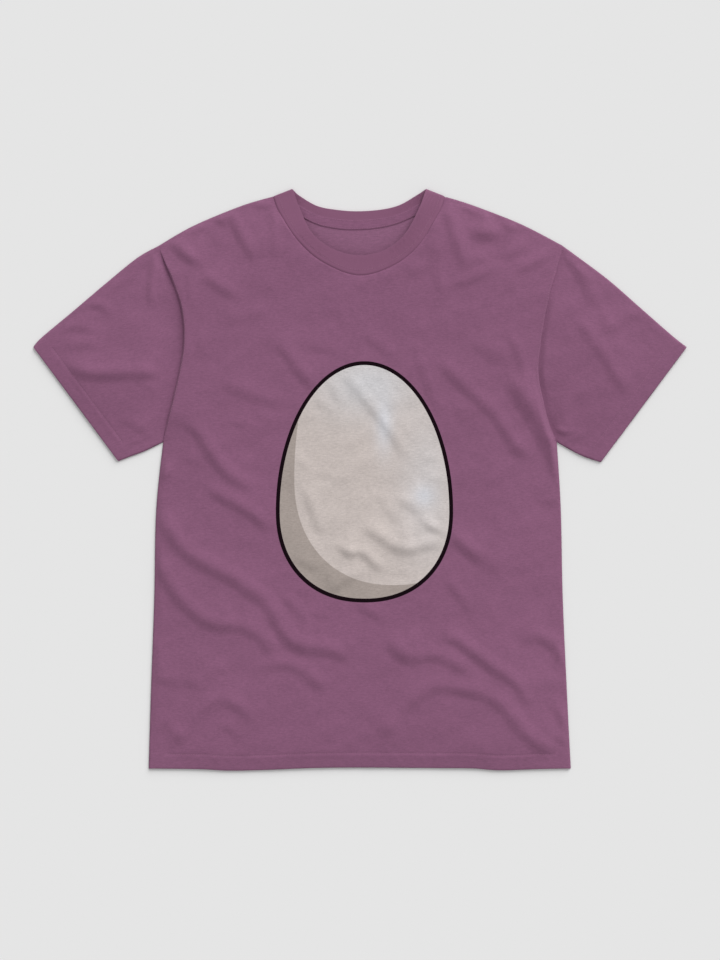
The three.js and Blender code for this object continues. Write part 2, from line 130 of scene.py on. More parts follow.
BODY_FOLDS = [
    # left flank
    (3.0, 7.0, [(180, 426), (190, 430), (199, 440), (207, 454), (217, 467), (228, 479), (243, 487),
        (256, 490)]),
    (2.6, 6.5, [(206, 489), (218, 499), (230, 505), (242, 511), (252, 518), (262, 527), (270, 534)]),
    (2.2, 6.0, [(157, 486), (164, 479), (170, 474), (178, 469)]),
    (3.2, 8.0, [(156, 514), (164, 531), (174, 546), (185, 557), (198, 566), (212, 572), (226, 579),
        (240, 588), (252, 597), (262, 604), (268, 612), (273, 622), (278, 632), (285, 641), (293, 648),
        (303, 652), (315, 652), (327, 654), (340, 658), (352, 662)]),
    (2.7, 7.5, [(152, 556), (158, 572), (167, 587), (176, 600), (184, 609), (193, 617), (203, 624),
        (214, 628), (226, 630), (237, 629), (247, 633), (257, 638), (263, 646), (268, 653),
        (276, 658)]),
    (2.0, 7.0, [(260, 672), (270, 669), (283, 667), (295, 670), (304, 674), (309, 680), (317, 687),
        (330, 694)]),
    (1.5, 6.0, [(278, 590), (283, 598), (290, 606), (297, 614), (305, 622), (314, 629)]),
    (0.8, 6.0, [(300, 612), (315, 617), (330, 617)]),
    (0.8, 5.0, [(284, 590), (300, 593), (318, 595)]),
    (0.9, 5.0, [(342, 643), (349, 647), (357, 648)]),
    (2.4, 8.0, [(150, 684), (160, 681), (170, 682), (180, 690)]),
    (1.0, 6.0, [(152, 640), (153, 660), (154, 678)]),
    (1.4, 6.0, [(182, 679), (190, 685), (198, 688), (207, 690)]),
    (1.0, 5.5, [(206, 676), (213, 671), (219, 671), (226, 676)]),
    (2.2, 7.0, [(170, 746), (182, 741), (190, 732), (198, 721), (205, 712), (212, 706), (220, 702),
        (229, 705), (236, 709), (244, 715), (254, 727)]),
    (0.9, 7.0, [(158, 738), (167, 728), (175, 717), (183, 706)]),
    (0.9, 5.5, [(220, 727), (229, 731), (238, 742)]),
    (0.6, 5.0, [(240, 690), (248, 687), (256, 686)]),
    (0.5, 6.0, [(320, 739), (330, 742), (340, 748)]),
    (0.7, 5.0, [(180, 463), (190, 462), (202, 466)]),
    (0.9, 5.0, [(226, 424), (240, 426), (254, 424)]),
    # below the egg and to the right of it
    (1.6, 6.0, [(354, 606), (362, 611), (372, 615), (380, 622), (386, 630)]),
    (2.6, 7.5, [(386, 634), (390, 646), (396, 656), (404, 661), (416, 661), (428, 659), (440, 660),
        (450, 664), (459, 671), (472, 676)]),
    (3.0, 7.0, [(440, 640), (454, 642), (464, 650), (473, 657), (482, 664), (492, 671), (502, 677),
        (511, 683), (518, 691), (523, 701), (528, 712)]),
    (2.6, 7.5, [(386, 742), (396, 729), (405, 714), (415, 704), (424, 697), (434, 692), (446, 690),
        (457, 692), (468, 695), (480, 697), (490, 701), (498, 707), (506, 716), (512, 725), (518, 732),
        (526, 739), (533, 747), (546, 752), (562, 753)]),
    (1.4, 6.0, [(441, 577), (450, 589), (458, 598), (465, 607), (471, 617)]),
    (2.4, 7.0, [(524, 642), (535, 640), (545, 643), (553, 650), (558, 658), (564, 668)]),
    (1.2, 8.0, [(521, 690), (535, 689), (550, 686), (564, 683)]),
    (1.6, 6.0, [(549, 703), (556, 713), (561, 723), (568, 736)]),
    (1.6, 5.0, [(553, 738), (560, 742), (569, 748)]),
    (1.2, 9.0, [(466, 558), (480, 566), (495, 572), (512, 575)]),
    (2.8, 7.5, [(446, 534), (455, 542), (464, 551), (474, 558), (488, 564)]),
    (0.6, 6.0, [(476, 627), (484, 632), (492, 634)]),
    (0.6, 7.0, [(498, 648), (508, 653), (518, 660)]),
    (0.6, 6.0, [(436, 716), (437, 732), (438, 748)]),
    # from the chest down to the right side
    (2.4, 7.0, [(436, 362), (446, 373), (455, 383), (465, 392), (475, 401), (486, 411), (495, 421),
        (502, 432), (508, 443), (515, 453), (524, 457), (536, 457)]),
    (5.5, 11.0, [(505, 378), (512, 391), (519, 402), (527, 414), (535, 428), (543, 442), (550, 456),
        (556, 470), (561, 484)]),
    (1.6, 5.0, [(541, 506), (549, 503), (561, 502)]),
    (1.8, 6.0, [(505, 336), (511, 344), (516, 354), (519, 365), (521, 378), (523, 390)]),
    (1.4, 9.0, [(458, 345), (472, 348), (485, 355), (498, 361), (512, 366)]),
    (1.2, 5.5, [(413, 352), (418, 366), (422, 378), (427, 392), (433, 404), (440, 418)]),
    (1.0, 5.5, [(453, 400), (456, 410), (459, 420), (461, 430)]),
    # right shoulder
    (2.6, 7.0, [(440, 203), (444, 215), (448, 227), (452, 239), (456, 252), (461, 266), (466, 275)]),
    (3.4, 8.0, [(466, 230), (475, 237), (485, 239), (495, 237), (507, 231)]),
    (1.4, 5.0, [(460, 208), (468, 211), (478, 217)]),
    (1.4, 5.0, [(498, 222), (505, 227), (512, 231), (521, 231)]),
    (1.8, 6.0, [(498, 260), (510, 257), (520, 252), (530, 244), (538, 237)]),
    (1.0, 5.5, [(470, 263), (482, 262), (494, 264)]),
    (2.6, 6.0, [(514, 277), (525, 271), (535, 266), (545, 260), (558, 253)]),
    (1.8, 5.5, [(450, 288), (460, 286), (470, 283), (480, 279), (490, 274), (500, 268)]),
    (1.5, 6.0, [(432, 270), (436, 280), (439, 292), (441, 304)]),
    (1.2, 6.0, [(427, 240), (431, 254), (431, 266)]),
    (1.0, 6.0, [(408, 279), (418, 275), (427, 267)]),
    (1.2, 6.0, [(358, 337), (368, 341), (380, 350), (392, 359), (400, 366)]),
    (0.8, 6.0, [(503, 280), (508, 288), (513, 297)]),
    (0.6, 6.0, [(441, 312), (440, 325), (436, 336)]),
    (0.6, 8.0, [(502, 322), (512, 314), (518, 306)]),
    # left shoulder
    (1.8, 5.5, [(248, 203), (258, 207), (266, 207), (276, 202)]),
    (2.2, 5.5, [(213, 214), (219, 221), (226, 228)]),
    (2.4, 6.0, [(226, 211), (232, 224), (237, 235), (243, 246), (249, 256), (255, 266)]),
    (2.0, 6.0, [(178, 237), (190, 232), (202, 230), (212, 235)]),
    (0.8, 5.0, [(212, 232), (217, 242), (221, 252)]),
    (3.2, 6.5, [(166, 244), (174, 249), (182, 256), (190, 262), (198, 265), (206, 268)]),
    (2.0, 6.5, [(202, 279), (211, 285), (220, 291), (230, 297), (242, 302)]),
    (1.2, 5.0, [(253, 324), (262, 314), (270, 303)]),
    (0.8, 6.0, [(272, 294), (276, 286), (280, 278)]),
    (1.4, 5.0, [(270, 205), (271, 220), (271, 240), (272, 262)]),
    (1.2, 8.0, [(216, 320), (228, 323), (240, 323), (254, 322)]),
    (1.0, 6.0, [(197, 320), (198, 340), (199, 362)]),
    (0.9, 4.0, [(187, 276), (188, 292), (189, 310)]),
    (0.8, 5.0, [(194, 310), (200, 305), (206, 300)]),
    (2.0, 7.0, [(274, 342), (284, 356), (292, 366), (300, 376), (308, 386), (317, 397)]),
    (1.4, 7.0, [(300, 345), (314, 350), (328, 352), (346, 357)]),
    (0.8, 5.0, [(336, 300), (339, 315), (342, 330), (345, 339)]),
    (1.8, 8.0, [(218, 386), (232, 391), (244, 396), (257, 401), (270, 404), (286, 411)]),
    (0.6, 5.0, [(328, 272), (332, 280), (336, 290)]),
    # across the egg
    (1.2, 6.0, [(313, 396), (320, 406), (327, 412), (334, 419)]),
    (1.4, 5.5, [(325, 382), (332, 391), (336, 400), (340, 409)]),
    (1.8, 6.0, [(341, 374), (352, 388), (361, 399), (369, 410), (378, 420), (386, 431), (393, 440),
        (398, 450), (404, 463)]),
    (1.2, 5.0, [(414, 469), (424, 463), (434, 460), (444, 457)]),
    (0.7, 5.0, [(425, 478), (434, 481), (441, 485)]),
    (1.6, 6.0, [(394, 499), (405, 505), (413, 511), (422, 519)]),
    (2.5, 5.2, [(418, 517), (427, 527), (436, 532), (448, 538)]),
    (2.9, 6.5, [(360, 529), (372, 535), (381, 541), (390, 548), (399, 552), (410, 553), (422, 549),
        (434, 547), (446, 545)]),
    (2.8, 5.2, [(333, 544), (341, 551), (349, 556), (357, 554), (364, 557), (370, 563), (376, 568),
        (386, 572)]),
    (1.2, 6.0, [(378, 496), (383, 506), (388, 514), (396, 522), (404, 530)]),
    (1.4, 6.0, [(290, 559), (305, 565), (315, 570), (332, 570)]),
    (1.8, 6.0, [(326, 594), (338, 589), (347, 583), (357, 577), (368, 573)]),
    (0.8, 5.0, [(384, 577), (395, 574), (408, 577), (418, 580)]),
    (1.8, 6.0, [(299, 484), (305, 497), (309, 508), (313, 519), (317, 530), (324, 542)]),
    (1.0, 4.5, [(296, 461), (302, 466), (310, 470)]),
    (0.6, 5.0, [(312, 474), (325, 478), (340, 479), (354, 479)]),
]
LEFT_SLEEVE_FOLDS = [
    (2.6, 5.0, [(153, 250), (151, 262), (149, 277), (148, 292), (148, 312)]),
    (2.6, 6.0, [(74, 309), (86, 307), (96, 307), (103, 311), (111, 321)]),
    (1.6, 6.0, [(101, 297), (113, 291), (124, 283), (137, 277)]),
    (0.8, 4.0, [(131, 268), (138, 264), (144, 261)]),
    (1.4, 6.0, [(52, 335), (65, 330), (78, 330), (92, 333), (106, 336)]),
    (1.6, 7.0, [(60, 353), (76, 347), (92, 349), (110, 348)]),
    (3.2, 7.0, [(64, 367), (78, 375), (92, 378), (108, 378), (124, 377), (140, 377), (162, 378)]),
    (1.0, 4.5, [(132, 381), (142, 385), (150, 390), (159, 395)]),
    (1.3, 7.0, [(116, 421), (132, 427), (144, 433), (154, 438)]),
    (0.7, 5.0, [(122, 304), (122, 322), (121, 340)]),
    (1.0, 4.0, [(71, 398), (80, 400), (89, 399)]),
    (0.8, 4.0, [(37, 349), (43, 354), (49, 359)]),
    (1.2, 2.6, [(127, 446), (140, 442), (150, 437), (162, 433)]),
]
RIGHT_SLEEVE_FOLDS = [
    (2.2, 7.0, [(559, 251), (568, 262), (575, 271), (582, 284), (588, 297), (595, 311)]),
    (1.9, 7.0, [(573, 320), (584, 335), (593, 347), (601, 358), (608, 369), (614, 380), (620, 388),
        (629, 400)]),
    (1.9, 7.0, [(601, 335), (614, 331), (623, 324), (634, 318), (653, 313)]),
    (0.8, 6.0, [(594, 274), (608, 285), (622, 297)]),
    (1.0, 4.5, [(650, 328), (658, 333), (666, 339)]),
    (0.9, 4.0, [(655, 365), (663, 369), (671, 372)]),
    (1.7, 5.5, [(557, 420), (566, 413), (571, 406), (575, 399), (581, 395), (591, 392)]),
    (2.4, 3.2, [(547, 432), (558, 433), (566, 434), (577, 433)]),
    (1.5, 5.0, [(562, 446), (574, 441), (582, 438), (594, 433)]),
    (0.7, 5.0, [(556, 394), (563, 384), (574, 379)]),
    (0.7, 8.0, [(588, 425), (600, 415), (614, 407)]),
    (0.7, 5.0, [(611, 352), (622, 353), (634, 352)]),
]


# ---------------------------------------------------------------- lines and areas
def smooth(x):
    """0 below 0, 1 above 1, and an even curve between."""
    x = np.clip(x, 0, 1)
    return x * x * (3 - 2 * x)


def between(p0, p1, p2, p3, t):
    """The Catmull-Rom curve from p1 to p2, at shares t of the way."""
    return 0.5 * (2 * p1 + (p2 - p0) * t + (2 * p0 - 5 * p1 + 4 * p2 - p3) * t**2
                  + (3 * p1 - p0 - 3 * p2 + p3) * t**3)


def spline(points, step, samples=24):
    """Points about `step` apart on a smooth curve through these ones."""
    p = np.asarray(points, float)
    p0, p1, p2, p3 = np.vstack([p[:1], p[:-2]]), p[:-1], p[1:], np.vstack([p[2:], p[-1:]])
    t = np.linspace(0, 1, samples, endpoint=False)[:, None, None]
    dense = between(p0, p1, p2, p3, t).transpose(1, 0, 2).reshape(-1, p.shape[1])
    return evenly(np.vstack([dense, p[-1:]]), step)


def evenly(line, step):
    """The same line with its points about `step` apart."""
    at = np.r_[0, np.cumsum(np.linalg.norm(np.diff(line, axis=0), axis=1))]
    wanted = np.linspace(0, at[-1], max(2, round(at[-1] / step)) + 1)
    return np.column_stack([np.interp(wanted, at, values) for values in line.T])


REACH = 100.0  # distances to a line are worked out up to here, and are this beyond it


def to_line(xy, line, reach=REACH):
    """Each point's distance to a line, positive on its left, and how far along it that is, 0 to 1."""
    distance = np.full(len(xy), float(reach))
    along = np.zeros(len(xy))
    segments = len(line) - 1
    block = 12
    for start in range(0, segments, block):
        piece = line[start:start + block + 1]
        near = np.all((xy > piece.min(axis=0) - reach) & (xy < piece.max(axis=0) + reach), axis=1)
        near = np.flatnonzero(near)
        ab = np.diff(piece, axis=0)
        rel = xy[near, None] - piece[:-1]
        share = np.clip((rel * ab).sum(2) / (ab**2).sum(1), 0, 1)
        off = rel - share[..., None] * ab
        length = np.hypot(off[..., 0], off[..., 1])
        nearest = length.argmin(1)
        row = np.arange(len(near))
        closer = length[row, nearest] < np.abs(distance[near])
        row, nearest, near = row[closer], nearest[closer], near[closer]
        side = ab[nearest, 0] * rel[row, nearest, 1] - ab[nearest, 1] * rel[row, nearest, 0]
        distance[near] = np.where(side >= 0, 1, -1) * length[row, nearest]
        along[near] = (start + nearest + share[row, nearest]) / segments
    return distance, along


def apart(xy, *lines, reach=REACH):
    """Each point's distance to the nearest of these lines."""
    return np.min([np.abs(to_line(xy, line, reach)[0]) for line in lines], axis=0)


def inside(xy, loop):
    """Which points lie inside a closed loop."""
    result = np.zeros(len(xy), bool)
    a, b = loop, np.roll(loop, -1, axis=0)
    block = 2000
    for start in range(0, len(xy), block):
        x, y = xy[start:start + block, :1], xy[start:start + block, 1:]
        crosses = (a[:, 1] > y) != (b[:, 1] > y)
        with np.errstate(divide="ignore", invalid="ignore"):
            at = (b[:, 0] - a[:, 0]) * (y - a[:, 1]) / (b[:, 1] - a[:, 1]) + a[:, 0]
        result[start:start + block] = (crosses & (x < at)).sum(1) % 2 == 1
    return result


def shifted(line, distance):
    """A line moved to its own left."""
    along = np.gradient(line, axis=0)
    along /= np.linalg.norm(along, axis=1)[:, None]
    return line + np.column_stack([-along[:, 1], along[:, 0]]) * np.reshape(distance, (-1, 1))


def noise(xy, size, seed):
    """Smooth seeded noise between -1 and 1 with blobs about `size` mm across."""
    cells = 64
    table = np.random.default_rng(seed).uniform(-1, 1, (cells, cells))
    place = xy / size + 500  # an arbitrary start in the table
    low = np.floor(place).astype(int)
    blend = smooth(place - low)

    def corner(i, j):
        return table[(low[:, 0] + i) % cells, (low[:, 1] + j) % cells]

    near = corner(0, 0) * (1 - blend[:, 0]) + corner(1, 0) * blend[:, 0]
    far = corner(0, 1) * (1 - blend[:, 0]) + corner(1, 1) * blend[:, 0]
    return near * (1 - blend[:, 1]) + far * blend[:, 1]


# ---------------------------------------------------------------- the cut pieces
STEP = 2.4  # spacing of the points along an outline
HEM_BAND = 2  # points are close together this far to both sides of a hem's stitches
ROWS = {  # distances in from an edge at which a row of points follows it
    "fold": (0.25, 0.8, 1.7, 3.0, 4.8),
    "hem": (0.35, 1.0, 2.4, HEM - HEM_BAND, HEM - 1, HEM, HEM + 1, HEM + HEM_BAND),
    "seam": (0.3, 0.8, 1.5, 2.6),
}
CREASE_CLEAR = 0.8  # no loose point lies closer than this to a crease
SHARP = 50  # degrees between two faces from which the edge between them is drawn sharp


class Cut:
    """A piece of cloth laid out flat: its edges run anticlockwise, each as (kind, line)."""

    def __init__(self, *edges):
        self.edges = edges
        self.loop = np.vstack([line[:-1] for _, line in edges])
        self.kinds = [kind for kind, line in edges for _ in line[:-1]]

    def lines(self, kind=None):
        return [line for edge, line in self.edges if kind in (None, edge)]

    def points(self, spacing, creases=()):
        """Points inside: rows that follow the edges, and an even spread between them."""
        rows = []
        for kind, line in self.edges:
            for distance in ROWS[kind]:
                row = evenly(shifted(line, distance), min(spacing, STEP * 1.5))
                clear = apart(row, *self.lines(), reach=24) > distance * 0.97
                rows.append(row[inside(row, self.loop) & clear])
        low, high = self.loop.min(axis=0), self.loop.max(axis=0)
        levels = np.arange(low[1], high[1], spacing * math.sqrt(0.75))
        spread = np.vstack([
            [(x, y) for x in np.arange(low[0] + spacing / 2 * (i % 2), high[0], spacing)]
            for i, y in enumerate(levels)
        ])
        spread = spread[inside(spread, self.loop)]
        near = apart(spread, *self.lines(), reach=9) < ROWS["seam"][-1] + spacing * 0.5
        near |= apart(spread, *self.lines("fold"), reach=30) < ROWS["fold"][-1] + spacing * 0.4
        near |= np.abs(apart(spread, *self.lines("hem"), reach=30) - HEM) < HEM_BAND + spacing * 0.4
        points = np.vstack(rows + [spread[~near]])
        for crease in creases:
            points = points[apart(points, crease, reach=3) > CREASE_CLEAR]
        return points

    def triangles(self, spacing, creases=()):
        """(points, triangles); the first points are the loop's, and closed creases are kept as edges."""
        groups = [self.loop, *[crease[:-1] for crease in creases], self.points(spacing, creases)]
        starts = np.cumsum([0] + [len(group) for group in groups])
        kept = []
        for start, group in zip(starts[1:], groups[1:-1]):
            kept += [(int(start + i), int(start + (i + 1) % len(group))) for i in range(len(group))]
        flat = [Vector(point) for point in np.vstack(groups).tolist()]
        verts, _, faces, *_ = delaunay_2d_cdt(flat, kept, [list(range(len(self.loop)))], 1, 1e-4, False)
        points = np.array([tuple(vert) for vert in verts])
        faces = np.array([tuple(face) for face in faces])
        return points, faces[inside(points[faces].mean(axis=1), self.loop)]

    def outward(self, count):
        """For each of `count` points, the way out across the folded edge that it is on, if any."""
        out = np.full((count, 2), np.nan)
        along = np.roll(self.loop, -1, axis=0) - np.roll(self.loop, 1, axis=0)
        along /= np.linalg.norm(along, axis=1)[:, None]
        folded = np.flatnonzero([kind == "fold" for kind in self.kinds])
        out[folded] = np.column_stack([along[folded, 1], -along[folded, 0]])
        return out


def rim_of(triangles):
    """The directed edges that only one triangle has."""
    edges = np.vstack([triangles[:, [0, 1]], triangles[:, [1, 2]], triangles[:, [2, 0]]])
    size = triangles.max() + 1
    forward = edges[:, 0] * size + edges[:, 1]
    backward = edges[:, 1] * size + edges[:, 0]
    return edges[~np.isin(forward, backward)]


def below(points, triangles, depth, outward):
    """The points moved `depth` in through a surface, square to it, and square to the edge along a fold."""
    a, b, c = (points[triangles[:, k]] for k in range(3))
    facing = np.cross(b - a, c - a)
    normal = np.zeros_like(points)
    for k in range(3):
        np.add.at(normal, triangles[:, k], facing)
    normal /= np.linalg.norm(normal, axis=1)[:, None]
    turned = ~np.isnan(outward[:, 0])
    normal[turned] = np.column_stack([outward[turned], np.zeros(turned.sum())])
    return points - normal * np.reshape(depth, (-1, 1))


def area_of(points, triangles):
    """The area of some triangles seen from above, in square metres."""
    a, b, c = (points[triangles[:, k], :2] for k in range(3))
    return float(np.abs(np.cross(b - a, c - a)).sum() / 2) * MM**2


def grid_faces(rows, count, rows_close=False, ends_meet=False):
    """Faces between rows of `count` points. The last row may join the first, and a row's end its start."""
    faces = []
    for r in range(rows if rows_close else rows - 1):
        s = (r + 1) % rows
        for i in range(count if ends_meet else count - 1):
            j = (i + 1) % count
            faces.append((r * count + i, r * count + j, s * count + j, s * count + i))
    return faces


def add_mesh(name, points, faces, material, slot, node=None):
    """A piece of the shirt, wearing this material, that hides the CAD node that it replaces. Its slot
    argument is not used.
    """
    mesh = bpy.data.meshes.new(name)
    mesh.from_pydata((np.asarray(points) * MM).tolist(), [], faces)
    mesh.polygons.foreach_set("use_smooth", np.ones(len(mesh.polygons), bool))
    mesh.set_sharp_from_angle(angle=math.radians(SHARP))
    piece = bpy.data.objects.new(name, mesh)
    bpy.context.scene.collection.objects.link(piece)
    mesh.materials.append(material)
    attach(piece, "root")
    if node:
        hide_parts(node)
    return piece


def panel(name, cut, top, depth, material, node, creases=(), fine_step=FINE):
    """A closed sheet over a cut: its outer face is at top(xy), and the inner one depth(xy) below it."""
    fine_xy, fine = cut.triangles(fine_step, creases)
    coarse_xy, coarse = cut.triangles(COARSE)
    outer = np.column_stack([fine_xy, top(fine_xy)])
    over = np.column_stack([coarse_xy, top(coarse_xy)])
    inner = below(over, coarse, depth(coarse_xy), cut.outward(len(coarse_xy)))
    start = len(outer)
    faces = fine.tolist() + (coarse[:, ::-1] + start).tolist()
    count = len(cut.loop)
    for i in range(count):
        j = (i + 1) % count
        faces.append((i, start + i, start + j, j))
    return add_mesh(name, np.vstack([outer, inner]), faces, material, "jersey", node), outer, fine


# ---------------------------------------------------------------- the outline's curves
left, right = ({key: spline(points, STEP) for key, points in half.items()} for half in (LEFT, RIGHT))
hem_line = spline(HEM_LINE, STEP)
side_folds = [left["side"], right["side"], left["shoulder"], right["shoulder"]]
inner_plan, seam_plan = (np.array([section[k] for section in COLLAR_PLAN], float) for k in (0, 1))


def closed_at(points, places):
    """Points of a smooth closed curve through these ones, at places counted in them."""
    places = np.asarray(places, float) % len(points)
    low = np.floor(places).astype(int)
    return between(*(points[(low + k) % len(points)] for k in (-1, 0, 1, 2)), (places - low)[:, None])


def neck_seam(first, last):
    """The collar's seam seen from above, between two sections."""
    return evenly(closed_at(seam_plan, np.linspace(first, last, 300)), STEP)


front_neck = neck_seam(0, RIGHT_FOLD)
back_neck = neck_seam(RIGHT_FOLD, len(COLLAR_PLAN))[::-1]


def body_cut(neck):
    """The front or the back, which differ only at the neck."""
    return Cut(
        ("hem", hem_line),
        ("fold", right["side"]),
        ("seam", right["armhole"]),
        ("fold", right["shoulder"]),
        ("seam", neck[::-1]),
        ("fold", left["shoulder"][::-1]),
        ("seam", left["armhole"][::-1]),
        ("fold", left["side"][::-1]),
    )


front_cut = body_cut(front_neck)
back_cut = body_cut(back_neck)


# ---------------------------------------------------------------- folds and ripples
BEAT = 3.0  # a fold is laid down in overlapping touches this far apart, in mm
TOUCH = 5.0  # how far each touch spreads along the fold
QUICK_FALL = 0.42  # share of a fold's height that is lost close by on its lit side
QUICK_WIDTH = 2.0  # the width of that, in halves of the shaded flank
SLOW_WIDTH = 42.0  # width over which the rest of the height is lost, in mm
END_TAPER = 22.0  # length over which a fold rises from nothing at its ends
SHORT_TAPER = 0.45  # share of a short fold's length over which it does
TOUCH_REACH = 3.2  # a touch is worked out as far as this many times TOUCH


def ready(folds):
    """The folds with their pixels turned into smooth lines on the shirt."""
    done = []
    for height, steep, pixels in folds:
        p = np.asarray(pixels, float)
        on_shirt = np.column_stack([p[:, 0] - PHOTO_MIDDLE[0], PHOTO_MIDDLE[1] - p[:, 1]]) * PIXEL
        done.append((height, steep, spline(on_shirt, BEAT)))
    return done


def folds_height(xy, folds):
    """The height that folds add: steep on the shaded flank, and falling away slowly on the lit side."""
    z = np.zeros(len(xy))
    for height, steep, line in folds:
        reach = steep + SLOW_WIDTH
        near = np.all((xy > line.min(axis=0) - reach) & (xy < line.max(axis=0) + reach), axis=1)
        near = np.flatnonzero(near)
        if not len(near):
            continue
        along = np.gradient(line, axis=0)
        spacing = np.linalg.norm(along, axis=1)
        along /= spacing[:, None]
        travelled = np.cumsum(spacing)
        length = travelled[-1]
        taper = smooth(np.minimum(travelled, length - travelled) / min(END_TAPER, length * SHORT_TAPER))
        share = height * taper * spacing / (TOUCH * math.sqrt(2 * math.pi))
        for middle, (ax, ay), part in zip(line, along, share):
            rel = xy[near] - middle
            forward = rel[:, 0] * ax + rel[:, 1] * ay
            close = np.abs(forward) < TOUCH_REACH * TOUCH
            across = rel[close, 1] * ax - rel[close, 0] * ay
            rise = smooth((across + steep) / (2 * steep))
            past = across - steep
            quick = QUICK_FALL * smooth(past / (QUICK_WIDTH * steep))
            slow = (1 - QUICK_FALL) * smooth(past / SLOW_WIDTH)
            z[near[close]] += part * np.exp(-(forward[close] / TOUCH)**2 / 2) * rise * (1 - quick - slow)
    return z


def ripple(xy, seed):
    """Small unevenness all over the cloth, in three sizes."""
    slanted = np.column_stack([xy[:, 0] * 0.8 + xy[:, 1] * 0.6, (xy[:, 1] * 0.8 - xy[:, 0] * 0.6) * 1.9])
    return (0.55 * noise(slanted, 62, seed) + 0.5 * noise(slanted, 27, seed + 1)
            + 0.2 * noise(xy, 11, seed + 2))


# ---------------------------------------------------------------- edges and hems
EASY_RISE = 90.0  # how far in from a folded edge the cloth goes on rising
ROUND_WIDTH, ROUND_RISE = 1.6, 1.3  # the small quarter round at a folded edge
NEAR_WIDTH = 11.0  # width of the short slope inside it
SIDE_RISE = 1.7  # height of that slope by the left side, which is the plumper one
PLUMP_TOP = 168.0  # how far up the left side that goes, as y
EDGE_RISE = 0.4  # height of the slope by the other folded edges
HEM_THICK = 1.3  # thickness of a hem, where the turned-up cloth is pressed flat
HEM_TOP = 2.95  # height of the front layer's hem
HEM_CALM = 0.25  # share of the folds' height that is left on a hem
HEM_NOSE = 0.55  # how far a hem's very edge turns down
HEM_GROOVE = 0.3  # depth of the groove that its stitches pull in
HEM_PUFF = 0.22  # how far the cloth swells just outside the groove
PUCKER = 0.2  # height of the puckers between a hem's edge and its stitches
PUCKER_SIZE = 6.5
GROOVE_WIDTH = 0.9
UNDER_GROOVE = 0.2  # how far a hem's stitches pull its underside up from the floor
SEAM_GROOVE = 0.5  # depth of the groove along an armhole's seam
NECK_GROOVE = 0.9  # the same along the collar's seam
FADE = 8.0  # folds fade out this far from the body's edges and seams


def roll(distance, foot, top, near_rise, easy=EASY_RISE):
    """The rise from a folded edge: a small quarter round, a short slope, and a long one up to `top`."""
    across = 1 - np.clip(distance / ROUND_WIDTH, 0, 1)
    rounded = foot + ROUND_RISE * np.sqrt(1 - across**2)
    rest = top - foot - ROUND_RISE - near_rise
    return (rounded + near_rise * (2 * smooth(0.5 + distance / NEAR_WIDTH / 2) - 1)
            + rest * smooth(distance / easy))


def lowered(z, level, weight):
    """The surface brought down towards a level wherever it is above it."""
    return z - weight * np.clip(z - level, 0, None)


def turned_down(distance, width):
    """1 at an edge, falling to nothing `width` mm in, like the side of a quarter round."""
    return 1 - np.sqrt(1 - (1 - np.clip(distance / width, 0, 1))**2)


def hem_relief(distance, along_mm, seed):
    """What a sewn hem adds: a rounded edge, a groove at the stitches, and puckers between them."""
    edge = -HEM_NOSE * turned_down(distance, 1.0)
    groove = -HEM_GROOVE * np.exp(-((distance - HEM) / GROOVE_WIDTH)**2)
    puff = HEM_PUFF * np.exp(-((distance - HEM + 3.2) / 2.2)**2)
    band = np.exp(-((distance - HEM * 0.62) / (HEM * 0.34))**2)
    pucker_at = np.column_stack([along_mm + distance * 0.7, distance * 0.35])
    return edge + groove + puff + PUCKER * band * noise(pucker_at, PUCKER_SIZE, seed)


def near_open(distance):
    """How far the front layer has come down towards an open hem: 1 at the hem itself."""
    return 0.55 * (1 - np.clip(distance / 150, 0, 1))**2 + 0.45 * (1 - np.clip(distance / 45, 0, 1))**2


def hem_depth(distance):
    """Thickness by a hem, which ends in a rounded nose."""
    thick = FABRIC + (HEM_THICK - FABRIC) * (1 - smooth((distance - HEM + 0.6) / 1.2))
    return thick - 0.9 * turned_down(distance, 1.0)


def hem_calm(distance, width):
    """How much of a fold is left by a hem, growing again over `width` mm."""
    return HEM_CALM + (1 - HEM_CALM) * smooth((distance - 12) / width)


def under_groove(distance):
    """How far a hem's underside is pulled up along its stitches."""
    return UNDER_GROOVE * np.exp(-((distance - HEM) / GROOVE_WIDTH)**2)


# ---------------------------------------------------------------- the body's surfaces
HEM_LENGTH = 528.0  # along the body's hem
ARMHOLE_LEVEL = {-1: 4.1, 1: 6.0}  # height of the body's front layer at the left and right armhole seams
ARMHOLE_TOP_LEVEL = 6.4  # the same at the top third of each seam
ARMHOLE_TOP = (190, 60)  # the y from which it is, and the length over which it comes to be so
ARMHOLE_WIDTH = {-1: 3.4, 1: 1.8}  # width over which it turns down there
ARMHOLE_SAG = {-1: 0.0, 1: 0.95}  # how much of the way down it comes before that, over a wider strip
BACK_WAVES = 0.5  # how far the back layer rises off the floor in soft waves
BACK_NECK_LIFT = 0.85  # how far it is lifted under the back of the collar
BACK_REST = FABRIC * 0.02  # how far its underside stays above the floor elsewhere
body_folds = ready(BODY_FOLDS)


def armhole_level(xy, side):
    """Height of the body's front layer at an armhole seam."""
    low = ARMHOLE_LEVEL[side]
    return low + (ARMHOLE_TOP_LEVEL - low) * smooth((xy[:, 1] - ARMHOLE_TOP[0]) / ARMHOLE_TOP[1])


